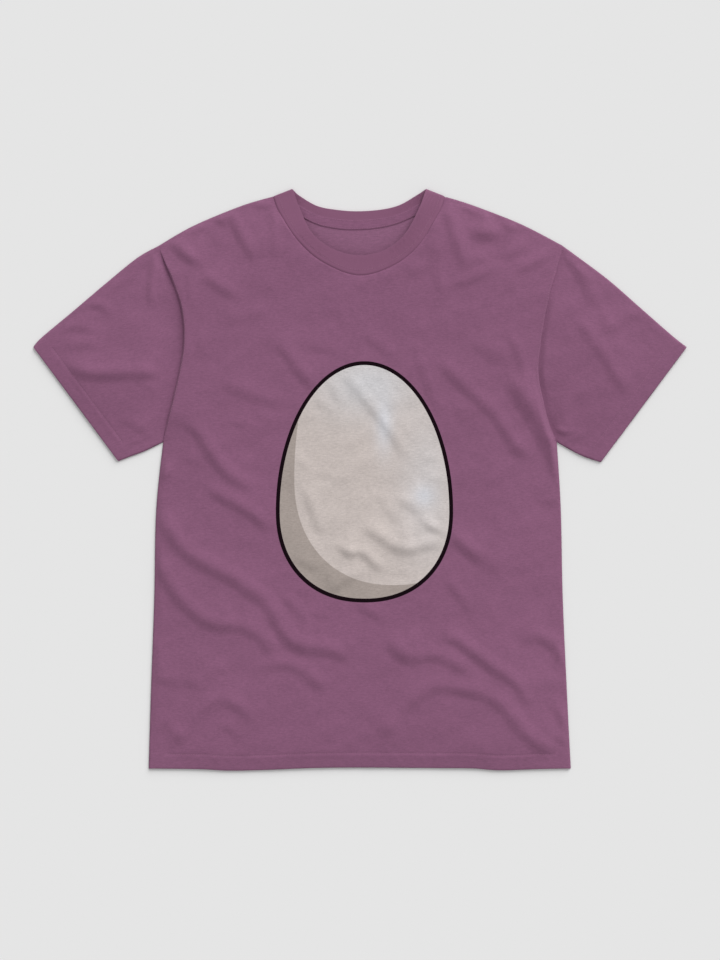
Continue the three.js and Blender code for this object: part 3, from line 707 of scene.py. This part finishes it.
def front_level(xy):
    """Height of the front layer before its folds, and the distances to its edges, its neck and its hem."""
    edge = apart(xy, *side_folds)
    neck = apart(xy, front_neck)
    hem, hem_along = to_line(xy, hem_line)
    hem = np.abs(hem)
    by_left_side = (xy[:, 0] < 0) & (xy[:, 1] < PLUMP_TOP)
    easy = EASY_RISE / 2 * (1 + smooth(np.minimum(neck, apart(xy, left["armhole"])) / 80))
    z = roll(edge, FOLD_FOOT, LOFT, np.where(by_left_side, SIDE_RISE, EDGE_RISE), easy)
    relief = smooth(edge / 10) * hem_relief(hem, hem_along * HEM_LENGTH, 40)
    return lowered(z, HEM_TOP, near_open(hem)) + relief, edge, neck, hem


def front_top(xy):
    """Height of the body's front layer."""
    z, edge, neck, hem = front_level(xy)
    calm = smooth(edge / FADE) * smooth(neck / FADE) * hem_calm(hem, 12)
    for side, half in ((-1, left), (1, right)):
        armhole = apart(xy, half["armhole"])
        level = armhole_level(xy, side)
        z = lowered(z, level + 0.9, ARMHOLE_SAG[side] * (1 - smooth(armhole / 50)))
        z = lowered(z, level, turned_down(armhole, ARMHOLE_WIDTH[side]))
        z = z - SEAM_GROOVE * smooth(edge / 6) * turned_down(armhole, 1.2)
        calm = calm * smooth(armhole / FADE)
    z = z - NECK_GROOVE * smooth(edge / 8) * turned_down(neck, 1.4)
    return z + calm * (folds_height(xy, body_folds) + ripple(xy, 7))


def body_depth(xy):
    """Thickness of the body's cloth, which is single along its folded edges."""
    hem = apart(xy, hem_line)
    return FABRIC + smooth(apart(xy, *side_folds) / 6) * (hem_depth(hem) - FABRIC)


def back_top(xy):
    """Height of the back layer's inner face."""
    hem, edge = apart(xy, hem_line), apart(xy, *side_folds)
    waves = BACK_WAVES * smooth(edge / 30) * (0.5 + 0.5 * noise(xy, 70, 91))
    by_neck = BACK_NECK_LIFT * smooth(edge / 10) * (1 - smooth((apart(xy, back_neck) - 4) / 40))
    return np.maximum(waves, by_neck) * smooth(hem / 30) + body_depth(xy)


def back_depth(xy):
    """Thickness of the back layer, drawn in at the hem's stitches."""
    return body_depth(xy) - BACK_REST - under_groove(apart(xy, hem_line))


# ---------------------------------------------------------------- the collar's run
def collar_edges():
    """The collar's inner edge and seam edge in 3-D, in front level with the body's front layer."""
    front = slice(1, RIGHT_FOLD)
    level = np.full(len(COLLAR_PLAN), BACK_LEVEL)
    level[[0, RIGHT_FOLD]] = TURN_LEVEL
    level[front] = np.maximum(front_level(seam_plan[front])[0] - FABRIC / 2, FRONT_LEAST)
    stands_up = np.array([STANDS_UP.get(number, 0.0) for number in range(len(COLLAR_PLAN))])
    return np.column_stack([inner_plan, level + stands_up]), np.column_stack([seam_plan, level])


collar_inner, collar_seam = collar_edges()


def collar_sections(places):
    """The collar at these section numbers: inner edge, seam edge, way across, way out of its face."""
    places = np.asarray(places, float)
    nudge = 0.02
    inner, seam = closed_at(collar_inner, places), closed_at(collar_seam, places)
    ahead, behind = (closed_at(collar_inner, places + step) + closed_at(collar_seam, places + step)
                     for step in (nudge, -nudge))
    across = seam - inner
    across /= np.linalg.norm(across, axis=1)[:, None]
    normal = np.cross(across, ahead - behind)
    normal /= np.linalg.norm(normal, axis=1)[:, None]
    return inner, seam, across, normal


# ---------------------------------------------------------------- materials
class Nodes:
    """A material's node tree, with short calls that add a node and link or set its inputs."""

    def __init__(self, name):
        self.material = bpy.data.materials.new(name)
        self.material.use_nodes = True
        self.tree = self.material.node_tree
        self.shader = self.tree.nodes["Principled BSDF"]

    def add(self, kind, inputs=(), **settings):
        node = self.tree.nodes.new(kind)
        for key, value in settings.items():
            setattr(node, key, value)
        for key, value in dict(inputs).items():
            if isinstance(value, bpy.types.NodeSocket):
                self.tree.links.new(value, node.inputs[key])
            else:
                node.inputs[key].default_value = value
        return node

    def math(self, operation, *values):
        return self.add("ShaderNodeMath", dict(enumerate(values)), operation=operation).outputs[0]

    def vector(self, operation, *values):
        return self.add("ShaderNodeVectorMath", dict(enumerate(values)), operation=operation).outputs

    def cloth_place(self, angle):
        """Millimetres along the courses and the wales of the knit, for cloth turned by `angle`."""
        coordinates = self.add("ShaderNodeTexCoord").outputs["Object"]
        turned = self.add("ShaderNodeMapping", {
            "Vector": coordinates, "Rotation": (0, 0, math.radians(angle)), "Scale": (1000, 1000, 1000)})
        return turned.outputs["Vector"]

    def noise(self, place, scale, detail=2.0, roughness=0.5):
        """Noise with `scale` blobs to a millimetre each way."""
        stretched = self.add("ShaderNodeMapping", {"Vector": place, "Scale": scale}).outputs["Vector"]
        node = self.add("ShaderNodeTexNoise", {
            "Vector": stretched, "Scale": 1.0, "Detail": detail, "Roughness": roughness})
        return node.outputs["Fac"]


WALE = 0.85  # mm from one column of stitches in the jersey to the next
COURSE = 0.7  # mm from one row of stitches to the next


def knit_height(nodes, place, fuzz_scale, fuzz_height):
    """Columns of V-shaped stitches, with the yarn's fuzz and thicker courses over them."""
    parts = nodes.add("ShaderNodeSeparateXYZ", {0: place})
    x, y = parts.outputs[0], parts.outputs[1]
    columns = nodes.math("PINGPONG", nodes.math("DIVIDE", x, WALE / 2), 1.0)
    rows = nodes.math("ADD", nodes.math("DIVIDE", y, COURSE), nodes.math("MULTIPLY", columns, 0.5))
    stitch = nodes.math("SINE", nodes.math("MULTIPLY", rows, 2 * math.pi))
    rounded = nodes.math("SINE", nodes.math("MULTIPLY", columns, math.pi))
    knit = nodes.math("ADD", nodes.math("MULTIPLY", stitch, 0.35), rounded)
    fuzz = nodes.math("MULTIPLY", nodes.noise(place, (fuzz_scale,) * 3, 3.0, 0.7), fuzz_height)
    slubs = nodes.math("MULTIPLY", nodes.noise(place, (0.05, 1.1, 1.0), 3.0, 0.6), 2.5)
    return nodes.math("ADD", knit, nodes.math("ADD", fuzz, slubs))


GRAIN = 0.45  # how strong the round grain is beside the streaks


def shaded(nodes, colour, place, streak, mottle, fuzz):
    """The colour with the knit's uneven yarn in it: long streaks, soft clouds and fine fuzz."""
    changes = [
        (nodes.noise(place, (0.2, 0.7, 1.0), 3.0, 0.6), streak),
        (nodes.noise(place, (0.75, 0.75, 1.0), 1.0), streak * GRAIN),
        (nodes.noise(place, (0.02, 0.02, 0.02), 2.0), mottle),
        (nodes.noise(place, (1.6, 1.6, 1.6), 2.0), fuzz),
    ]
    total = 1.0
    for value, strength in changes:
        part = nodes.math("MULTIPLY", nodes.math("SUBTRACT", value, 0.5), strength)
        total = nodes.math("ADD", part, total)
    mixed = nodes.add("ShaderNodeVectorMath", {0: colour, "Scale": total}, operation="SCALE")
    return mixed.outputs[0]


def linear(r, g, b):
    """A colour given as 0 to 255 in sRGB, as the shader wants it."""
    shares = (value / 255 for value in (r, g, b))
    return tuple(v / 12.92 if v <= 0.04045 else ((v + 0.055) / 1.055) ** 2.4 for v in shares)


JERSEY = linear(132.5, 86.3, 115.5)
# The back layer's inner face: the knit's reverse, a little lighter, and lightened further as painted light
# against the shade that falls on it inside the neck opening.
JERSEY_REVERSE_PAINTED_LIGHT = linear(138, 92.5, 121)
RIB_COLOUR = linear(132, 86, 114)
THREAD = linear(146, 102, 128)


def finish_cloth(nodes, colour, height, bump, roughness=0.92, sheen=0.08, gloss=0.2):
    """Matt cloth of this colour, with relief `bump` mm high."""
    shader = nodes.shader
    nodes.tree.links.new(colour, shader.inputs["Base Color"])
    shader.inputs["Roughness"].default_value = roughness
    shader.inputs["Specular IOR Level"].default_value = gloss
    shader.inputs["Sheen Weight"].default_value = sheen
    shader.inputs["Sheen Roughness"].default_value = 0.6
    relief = nodes.add("ShaderNodeBump", {"Height": height, "Distance": bump * MM, "Strength": 1.0})
    nodes.tree.links.new(relief.outputs[0], shader.inputs["Normal"])
    return nodes.material


def jersey(name, angle, colour=JERSEY):
    nodes = Nodes(name)
    place = nodes.cloth_place(angle)
    height = knit_height(nodes, place, fuzz_scale=2.4, fuzz_height=1.2)
    yarn = shaded(nodes, colour, place, streak=0.5, mottle=0.09, fuzz=0.10)
    return finish_cloth(nodes, yarn, height, bump=0.05)


def rib_knit(name):
    """The rib's raised columns are in its mesh, so only the yarn is left to the material."""
    nodes = Nodes(name)
    place = nodes.cloth_place(0)
    height = nodes.noise(place, (1.8, 1.8, 1.8), 3.0, 0.7)
    yarn = shaded(nodes, RIB_COLOUR, place, streak=0.05, mottle=0.08, fuzz=0.14)
    return finish_cloth(nodes, yarn, height, bump=0.08)


def thread(name):
    nodes = Nodes(name)
    place = nodes.cloth_place(0)
    height = nodes.noise(place, (4.0, 4.0, 4.0), 2.0)
    yarn = shaded(nodes, THREAD, place, streak=0.02, mottle=0.06, fuzz=0.2)
    return finish_cloth(nodes, yarn, height, bump=0.05, roughness=0.7)


def blob(nodes, place, middle, spread):
    """A soft spot: 1 at its middle, falling to nothing about `spread` mm out in x and y."""
    moved = nodes.vector("SUBTRACT", place, (*middle, 0.0))[0]
    scaled = nodes.vector("MULTIPLY", moved, (1 / spread[0], 1 / spread[1], 0.0))[0]
    far = nodes.vector("LENGTH", scaled)["Value"]
    return nodes.math("EXPONENT", nodes.math("MULTIPLY", nodes.math("MULTIPLY", far, far), -1.0))


def ink(name, colour, spots=(), roughness=0.75, gloss=0.2):
    """Printed ink, through which the knit still shows. Each spot is (colour, middle, spread, strength)."""
    nodes = Nodes(name)
    place = nodes.cloth_place(0)
    base = nodes.add("ShaderNodeRGB")
    base.outputs[0].default_value = (*colour, 1)
    tint = base.outputs[0]
    for spot_colour, middle, spread, strength in spots:
        factor = nodes.math("MULTIPLY", blob(nodes, place, middle, spread), strength)
        mix = nodes.add("ShaderNodeMix", data_type="RGBA")
        nodes.tree.links.new(factor, mix.inputs[0])
        nodes.tree.links.new(tint, mix.inputs[6])
        mix.inputs[7].default_value = (*spot_colour, 1)
        tint = mix.outputs[2]
    height = knit_height(nodes, place, fuzz_scale=2.0, fuzz_height=1.0)
    printed = shaded(nodes, tint, place, streak=0.5, mottle=0.07, fuzz=0.08)
    return finish_cloth(nodes, printed, height, bump=0.035, roughness=roughness, sheen=0.0, gloss=gloss)


# ---------------------------------------------------------------- floor, light and camera
FLOOR_REACH = 30.0  # metres of floor on each side of the shirt
FLOOR_COLOUR = (229, 229, 229)
SUN_SHARE = 0.42  # share of a flat surface's light that comes from the key light
SUN_HEIGHT = 27.0  # degrees above the floor
SUN_FROM = 64.0  # degrees anticlockwise from +X
SUN_ANGLE = 40.0  # how wide the key light looks, in degrees
LENS = 85.0  # mm
SENSOR = 36.0  # mm across the frame's longer side


def add_stage():
    corners = [(-FLOOR_REACH, -FLOOR_REACH, 0), (FLOOR_REACH, -FLOOR_REACH, 0),
               (FLOOR_REACH, FLOOR_REACH, 0), (-FLOOR_REACH, FLOOR_REACH, 0)]
    mesh = bpy.data.meshes.new("floor")
    mesh.from_pydata(corners, [], [(0, 1, 2, 3)])
    floor = bpy.data.objects.new("floor", mesh)
    bpy.context.scene.collection.objects.link(floor)
    nodes = Nodes("floor")
    nodes.shader.inputs["Base Color"].default_value = (*linear(*FLOOR_COLOUR), 1)
    nodes.shader.inputs["Roughness"].default_value = 1.0
    nodes.shader.inputs["Specular IOR Level"].default_value = 0.0
    mesh.materials.append(nodes.material)


def add_lights():
    elevation, azimuth = math.radians(SUN_HEIGHT), math.radians(SUN_FROM)
    towards = Vector((math.cos(elevation) * math.cos(azimuth), math.cos(elevation) * math.sin(azimuth),
                      math.sin(elevation)))
    key = bpy.data.lights.new("key", "SUN")
    key.energy = math.pi * SUN_SHARE / math.sin(elevation)
    key.angle = math.radians(SUN_ANGLE)
    lamp = bpy.data.objects.new("key", key)
    lamp.rotation_euler = towards.to_track_quat("Z", "Y").to_euler()
    bpy.context.scene.collection.objects.link(lamp)
    world = bpy.data.worlds.new("studio")
    world.use_nodes = True
    background = world.node_tree.nodes["Background"]
    background.inputs["Color"].default_value = (1, 1, 1, 1)
    background.inputs["Strength"].default_value = 1 - SUN_SHARE
    bpy.context.scene.world = world


def add_camera():
    """A camera straight above, so high that a pixel of the photograph is PIXEL mm of the shirt."""
    tall = PHOTO_SIZE[1] * PIXEL * MM
    camera = bpy.data.cameras.new("camera")
    camera.lens = LENS
    camera.sensor_width = SENSOR
    holder = bpy.data.objects.new("camera", camera)
    middle_x = (PHOTO_SIZE[0] / 2 - PHOTO_MIDDLE[0]) * PIXEL * MM
    middle_y = (PHOTO_MIDDLE[1] - PHOTO_SIZE[1] / 2) * PIXEL * MM
    holder.location = (middle_x, middle_y, tall * LENS / SENSOR + LOFT / 2 * MM)
    bpy.context.scene.collection.objects.link(holder)
    bpy.context.scene.camera = holder
    bpy.context.scene.view_settings.view_transform = "Standard"


add_camera()
add_lights()
add_stage()


# ---------------------------------------------------------------- the printed egg
INK_LOW = 0.03  # height of the ink's underside over the cloth
INK_HIGH = 0.12  # height of its face
SHINE = linear(208, 210, 217)  # the cool highlights on the egg


def egg_line(egg, inset):
    """An egg's closed outline: half an ellipse above its widest line and a squarer half below."""
    angle = np.linspace(0, 2 * math.pi, 720, endpoint=False)
    lower = np.sin(angle) < 0
    power = np.where(lower, 2 / EGG_SQUARENESS, 1.0)
    reach = np.where(lower, egg["below"], egg["above"]) - inset
    x = np.sign(np.cos(angle)) * np.abs(np.cos(angle))**power * (egg["half_width"] - inset)
    y = np.sign(np.sin(angle)) * np.abs(np.sin(angle))**power * reach
    line = np.column_stack([egg["x"] + x, egg["y"] + y])
    return evenly(np.vstack([line, line[:1]]), 2.0)


egg_edge = egg_line(EGG, 0)
egg_inside = egg_line(EGG, EGG_LINE)
egg_lit = egg_line(EGG_LIT, 0)


def film(name, points, triangles, material, slot, node):
    """A thin film over some of a surface's triangles."""
    used, local = np.unique(triangles, return_inverse=True)
    local = local.reshape(-1, 3)
    low = points[used] + (0, 0, INK_LOW)
    high = points[used] + (0, 0, INK_HIGH)
    count = len(used)
    faces = local.tolist() + (local[:, ::-1] + count).tolist()
    for a, b in rim_of(local).tolist():
        faces.append((a, a + count, b + count, b))
    return add_mesh(name, np.vstack([high, low]), faces, material, slot, node)


# ---------------------------------------------------------------- stitches
STITCH_PITCH = 3.1  # from the start of one stitch to the start of the next
STITCH_CLEAR = 0.05  # height of a stitch's middle over the cloth
STITCH_SIZE = (2.3, 0.5, 0.22)  # length, width and half the height of one stitch
UP = np.array([0.0, 0.0, 1.0])
DOWN = -UP


def one_stitch(around=6, rings=5):
    """A short thread lying along X with closed ends: its points and faces."""
    rolls = np.linspace(0, 2 * math.pi, around, endpoint=False)
    tilts = math.pi * (np.arange(rings) + 0.5) / rings - math.pi / 2
    points = [(math.sin(tilt) / 2, math.cos(tilt) * math.cos(turn) / 2, math.cos(tilt) * math.sin(turn))
              for tilt in tilts for turn in rolls]
    faces = grid_faces(rings, around, ends_meet=True)
    faces.append(tuple(range(around))[::-1])
    faces.append(tuple(range((rings - 1) * around, rings * around)))
    return np.array(points) * STITCH_SIZE, faces


def stitches(name, paths):
    """Short threads laid end to end along paths of 3-D points, each given with the way that it faces."""
    shape, faces_of_one = one_stitch()
    points, faces = [], []
    for path, up in paths:
        line = evenly(path, STITCH_PITCH)
        middle = (line[1:] + line[:-1]) / 2
        along = line[1:] - line[:-1]
        along /= np.linalg.norm(along, axis=1)[:, None]
        across = np.cross(np.broadcast_to(up, along.shape), along)
        across /= np.linalg.norm(across, axis=1)[:, None]
        out = np.cross(along, across)
        for m, a, c, o in zip(middle, along, across, out):
            start = len(points) * len(shape)
            points.append(m + shape[:, :1] * a + shape[:, 1:2] * c + shape[:, 2:] * o)
            faces += [tuple(start + v for v in face) for face in faces_of_one]
    return add_mesh(name, np.vstack(points), faces, thread_material, "thread")


def over(top, line):
    """A path for stitches on a surface, just above it."""
    return np.column_stack([line, top(line) + STITCH_CLEAR]), UP


def under(bottom, line):
    """A path for stitches on the underside of a surface."""
    return np.column_stack([line, bottom(line)]), DOWN


# ---------------------------------------------------------------- body
jersey_body = jersey("jersey", 0)
# The back wears a lighter copy of the jersey: partly the knit's reverse face, partly painted light against
# the shade inside the neck opening.
jersey_back_painted_light = jersey("jersey_back_painted_light", 0, JERSEY_REVERSE_PAINTED_LIGHT)
thread_material = thread("thread")
ink_dark = ink("ink_dark", linear(20, 8, 15), roughness=0.8, gloss=0.04)
ink_pale = ink("ink_pale", linear(194.5, 184, 179.5), [
    (linear(202, 201, 204), (10, 120), (60, 40), 0.9),
    (linear(202, 198, 199), (85, -5), (35, 90), 0.7),
    (SHINE, (30, 69), (11, 34), 0.7),
    (SHINE, (80, -21), (13, 13), 0.7),
])
ink_shade = ink("ink_shade", linear(161, 150, 144))

front, front_points, front_triangles = panel(
    "front", front_cut, front_top, body_depth, jersey_body, "front_panel", [egg_edge, egg_inside, egg_lit])
middles = front_points[front_triangles][:, :, :2].mean(axis=1)
in_edge, in_fill, in_lit = (inside(middles, line[:-1]) for line in (egg_edge, egg_inside, egg_lit))
prints = [
    film(name, front_points, front_triangles[covered], material, slot, "egg_" + name)
    for name, covered, material, slot in (
        ("print_outline", in_edge & ~in_fill, ink_dark, "ink_dark"),
        ("print_fill", in_fill & in_lit, ink_pale, "ink_pale"),
        ("print_shade", in_fill & ~in_lit, ink_shade, "ink_shade"),
    )
]
back, back_points, back_triangles = panel(
    "back", back_cut, back_top, back_depth, jersey_back_painted_light, "back_panel", fine_step=COARSE)


# ---------------------------------------------------------------- sleeves
CUFF_LENGTH = 180.0  # along a sleeve's hem
TUCK_ENDS = 22.0  # length over which the tucked part narrows to nothing at both ends of the armhole
FOOT_REACH = 30.0  # how far out from the armhole a sleeve's folded edge reaches its own height
REST = 0.04  # how far a sleeve's underside stays above the floor
SEAM_GAP = {-1: 1.7, 1: 1.2}  # how much lower a sleeve lies than the body at the armhole seam
SEAM_TOP_GAP = 1.15  # the same at the top of the seam
SEAM_TOP = (170, 80)  # the y from which it is, and the length over which it comes to be so
SEAM_REACH = {-1: (7, 40), 1: (0, 7)}  # where a sleeve starts to rise from the seam, and over how far
SEAM_LIFT = 1.1  # how far the underside is lifted at the armhole, to lie over the edge of the back
SLEEVE_LEAST = (FABRIC + HEM_THICK + 0.2) * 0.9  # the least that the top lies above the underside
SLEEVE_SLANT = 12  # degrees that the knit is turned by in each sleeve


class Sleeve:
    """A sleeve laid flat: its cut, with an end that reaches in under the body, and its two surfaces."""

    def __init__(self, half, side, folds, seed):
        self.side, self.seed, self.folds = side, seed, ready(folds)
        self.armhole, top, under_arm = half["armhole"], half["sleeve_top"], half["sleeve_under"]
        self.edges = top, under_arm
        self.cuff = spline([under_arm[-1], (under_arm[-1] + top[-1]) / 2, top[-1]], STEP)
        number = np.arange(len(self.armhole))
        from_ends = np.minimum(number, number[::-1]) * STEP
        tucked = shifted(self.armhole, side * TUCK * smooth(from_ends / TUCK_ENDS))
        if side > 0:
            run = tucked[::-1], under_arm, self.cuff, top[::-1]
        else:
            run = tucked, top, self.cuff[::-1], under_arm[::-1]
        self.cut = Cut(*zip(("seam", "fold", "hem", "fold"), run))

    def places(self, xy):
        """Each point's distances: from the folded edges, out from the armhole, from the cuff, along it."""
        out = -self.side * to_line(xy, self.armhole, 400)[0]
        hem, along = to_line(xy, self.cuff)
        return apart(xy, *self.edges), out, np.abs(hem), along * CUFF_LENGTH

    def foot(self, out):
        """Height of the upper layer at the folded edges."""
        return FOLD_FOOT + (SLEEVE_FOOT - FOLD_FOOT) * smooth(out / FOOT_REACH)

    def top(self, xy):
        """Height of the upper layer."""
        side = self.side
        edge, out, hem, along = self.places(xy)
        z = roll(edge, self.foot(out), SLEEVE_LOFT, EDGE_RISE)
        start, reach = SEAM_REACH[side]
        near_top = smooth((xy[:, 1] - SEAM_TOP[0]) / SEAM_TOP[1])
        gap = SEAM_GAP[side] + (SEAM_TOP_GAP - SEAM_GAP[side]) * near_top
        seam_level = np.minimum(z, armhole_level(xy, side)) - gap * smooth(edge / 18)
        z = lowered(z, seam_level, 1 - smooth((out - start) / reach))
        z = lowered(z, HEM_TOP, near_open(hem)) + smooth(edge / 10) * hem_relief(hem, along, self.seed)
        calm = smooth(edge / 14) * smooth(out / 12) * hem_calm(hem, 14)
        z = z + calm * (folds_height(xy, self.folds) + ripple(xy, self.seed))
        return np.maximum(z, self.bottom(xy) + smooth(edge / 4) * SLEEVE_LEAST)

    def bottom(self, xy):
        """Height of the lower layer's underside."""
        edge, out, hem, _ = self.places(xy)
        z = REST + (self.foot(out) - REST) * turned_down(edge, 3.0) + under_groove(hem)
        return z + SEAM_LIFT * (1 - smooth(out / 4)) * smooth(edge / 60)

    def depth(self, xy):
        return hem_depth(apart(xy, self.cuff))

    def stitch_row(self):
        row = evenly(shifted(self.cuff, self.side * HEM), STEP)
        return row[inside(row, self.cut.loop) & (apart(row, *self.edges) > 2)]


def tube(name, shape, material, node):
    """Two layers of cloth, joined at their folded edges and open along the others, and their area."""
    xy, triangles = shape.cut.triangles(FINE)
    depth, outward = shape.depth(xy), shape.cut.outward(len(xy))
    upper = np.column_stack([xy, shape.top(xy)])
    lower = np.column_stack([xy, shape.bottom(xy)])
    points = np.vstack([upper, below(upper, triangles, depth, outward),
                        lower, below(lower, triangles[:, ::-1], depth, outward)])
    count = len(xy)
    loop = len(shape.cut.loop)
    is_fold = np.array([kind == "fold" for kind in shape.cut.kinds])
    shared = np.zeros(count, bool)
    shared[:loop] = is_fold | np.roll(is_fold, 1)
    lower_at = np.arange(count) + np.where(shared, 0, 2 * count)
    inner_at = lower_at + count
    faces = np.vstack([triangles, triangles[:, ::-1] + count,
                       lower_at[triangles[:, ::-1]], inner_at[triangles]]).tolist()
    for i in np.flatnonzero(~is_fold):
        j = (i + 1) % loop
        faces.append([i, count + i, count + j, j])
        faces.append([lower_at[i], lower_at[j], inner_at[j], inner_at[i]])
    used = np.unique([v for face in faces for v in face])
    index = np.zeros(len(points), int)
    index[used] = np.arange(len(used))
    faces = [index[face].tolist() for face in faces]
    return add_mesh(name, points[used], faces, material, "jersey", node), 2 * area_of(upper, triangles)


left_sleeve = Sleeve(left, -1, LEFT_SLEEVE_FOLDS, 60)
right_sleeve = Sleeve(right, 1, RIGHT_SLEEVE_FOLDS, 70)
sleeve_l, left_area = tube(
    "sleeve_left_cloth", left_sleeve, jersey("sleeve_left_cloth_jersey", -SLEEVE_SLANT), "sleeve_left")
sleeve_r, right_area = tube(
    "sleeve_right_cloth", right_sleeve, jersey("sleeve_right_cloth_jersey", SLEEVE_SLANT), "sleeve_right")


# ---------------------------------------------------------------- collar and neck tape
RIB_PITCH = 1.25  # from one raised column of the rib to the next
RIB_RELIEF = 0.14  # how far a column stands up
RIB_FADE = 0.3  # share of that which is left close to the rib's edges
EDGE_ROUND = 0.15  # how far in the rounding of the rib's pressed inner edge reaches
COLLAR_STEPS = 1900  # points along each row
# Rows of points across the rib's face: (mm from its inner edge or its seam, share of half the thickness).
INNER_ROWS = [(EDGE_ROUND * (1 - math.cos(turn)), math.sin(turn))
              for turn in (0, math.pi * 0.125, math.pi * 0.3, math.pi / 2)]
INNER_ROWS += [(2.5, 1.0), (6.0, 1.0), (10.0, 1.0), (14.0, 1.0)]
SEAM_ROWS = [(7.0, 1.0), (3.0, 1.0), (1.3, 0.9), (0.5, 0.55), (-0.4, -0.1)]
TAPE_LOW = RIB / 2 + 0.16  # the tape's underside, from the middle of the rib's thickness
TAPE_THICK = 0.34
# Rows of points across the tape: (share of the rib's width, share of the tape's thickness).
TAPE_ROWS = [
    (TAPE_TOP, 0.0), (TAPE_TOP + 0.04, 0.35), (TAPE_TOP + 0.09, 0.75), (0.6, 1.0), (0.7, 1.0), (0.8, 1.0),
    (0.9, 1.0), (0.965, 0.9), (0.99, 0.55), (1.0, 0.0),
]


def collar():
    """The rib, sewn into a ring. Its raised columns run across it."""
    places = np.linspace(0, len(COLLAR_PLAN), COLLAR_STEPS, endpoint=False)
    inner, seam, across, normal = collar_sections(places)
    travelled = np.r_[0, np.cumsum(np.linalg.norm(np.diff(seam, axis=0), axis=1))]
    ribs = round(travelled[-1] / RIB_PITCH)
    turns = ribs * travelled / travelled[-1] * (COLLAR_STEPS - 1) / COLLAR_STEPS
    wave = np.cos(2 * math.pi * turns)[:, None]

    def face(sign):
        """Rows over one face of the rib, from its inner edge to its seam. The under face runs out flat."""
        rows = []
        for origin, way, table in ((inner, across, INNER_ROWS), (seam, -across, SEAM_ROWS)):
            for at, thick in table:
                if sign < 0 and origin is seam:
                    thick = 1.0
                relief = RIB_RELIEF * (1.0 if at > 1.0 else RIB_FADE) * (1.0 if thick >= 0.99 else RIB_FADE)
                rows.append(origin + way * at + normal * sign * (RIB / 2 * thick + relief * wave))
        return rows

    rows = face(1) + face(-1)[::-1][:-1]
    faces = grid_faces(len(rows), COLLAR_STEPS, rows_close=True, ends_meet=True)
    faces = [(face[0],) + face[:0:-1] for face in faces]
    return add_mesh("collar_knit", np.vstack(rows), faces, rib_knit("rib"), "rib", "collar_rib")


def tape():
    """The neck tape, and the paths of its two rows of stitches."""
    inner, seam, across, normal = collar_sections(np.linspace(*TAPE_SPAN, 160))

    def at(share, thick):
        return inner + (seam - inner) * share - normal * (TAPE_LOW + TAPE_THICK * thick)

    rows = [at(share, thick) for share, thick in TAPE_ROWS]
    rows += [at(share, 0) for share, _ in TAPE_ROWS[::-1][1:-1]]
    count = len(inner)
    faces = grid_faces(len(rows), count, rows_close=True)
    faces.append([r * count for r in range(len(rows))])
    faces.append([r * count + count - 1 for r in range(len(rows))][::-1])
    piece = add_mesh("neck_tape_cloth", np.vstack(rows), faces, jersey("tape", 0), "tape", "neck_tape")
    return piece, [(at(share, 1), UP) for share in (0.94, TAPE_TOP + 0.07)]


rib = collar()
tape_piece, tape_paths = tape()


# ---------------------------------------------------------------- sewing
ARMHOLE_ROW = 2.2  # how far in from the armhole seams their row of stitches runs
NECK_ROW = 6.0  # how far in from its seam the collar's row runs
hem_row = shifted(hem_line, HEM)
hem_row = hem_row[apart(hem_row, *side_folds) > 2]
armhole_rows = [shifted(half["armhole"], side * ARMHOLE_ROW)[6:-6]
                for side, half in ((-1, left), (1, right))]
left_row, right_row = left_sleeve.stitch_row(), right_sleeve.stitch_row()
_, neck_out, neck_across, neck_normal = collar_sections(np.linspace(0.5, RIGHT_FOLD - 0.5, 400))
neck_path = neck_out - neck_across * NECK_ROW + neck_normal * (RIB / 2 + RIB_RELIEF * 0.6)
front_sewing = stitches("front_sewing", [
    over(front_top, hem_row),
    *[over(front_top, row) for row in armhole_rows],
    over(left_sleeve.top, left_row),
    over(right_sleeve.top, right_row),
    (neck_path, UP),
    *tape_paths,
])
stitches("back_sewing", [
    under(lambda xy: back_top(xy) - back_depth(xy), hem_row),
    under(left_sleeve.bottom, left_row),
    under(right_sleeve.bottom, right_row),
])


# ---------------------------------------------------------------- the areas of the back and the front, seen from above
area_of(back_points, back_triangles)
area_of(front_points, front_triangles)
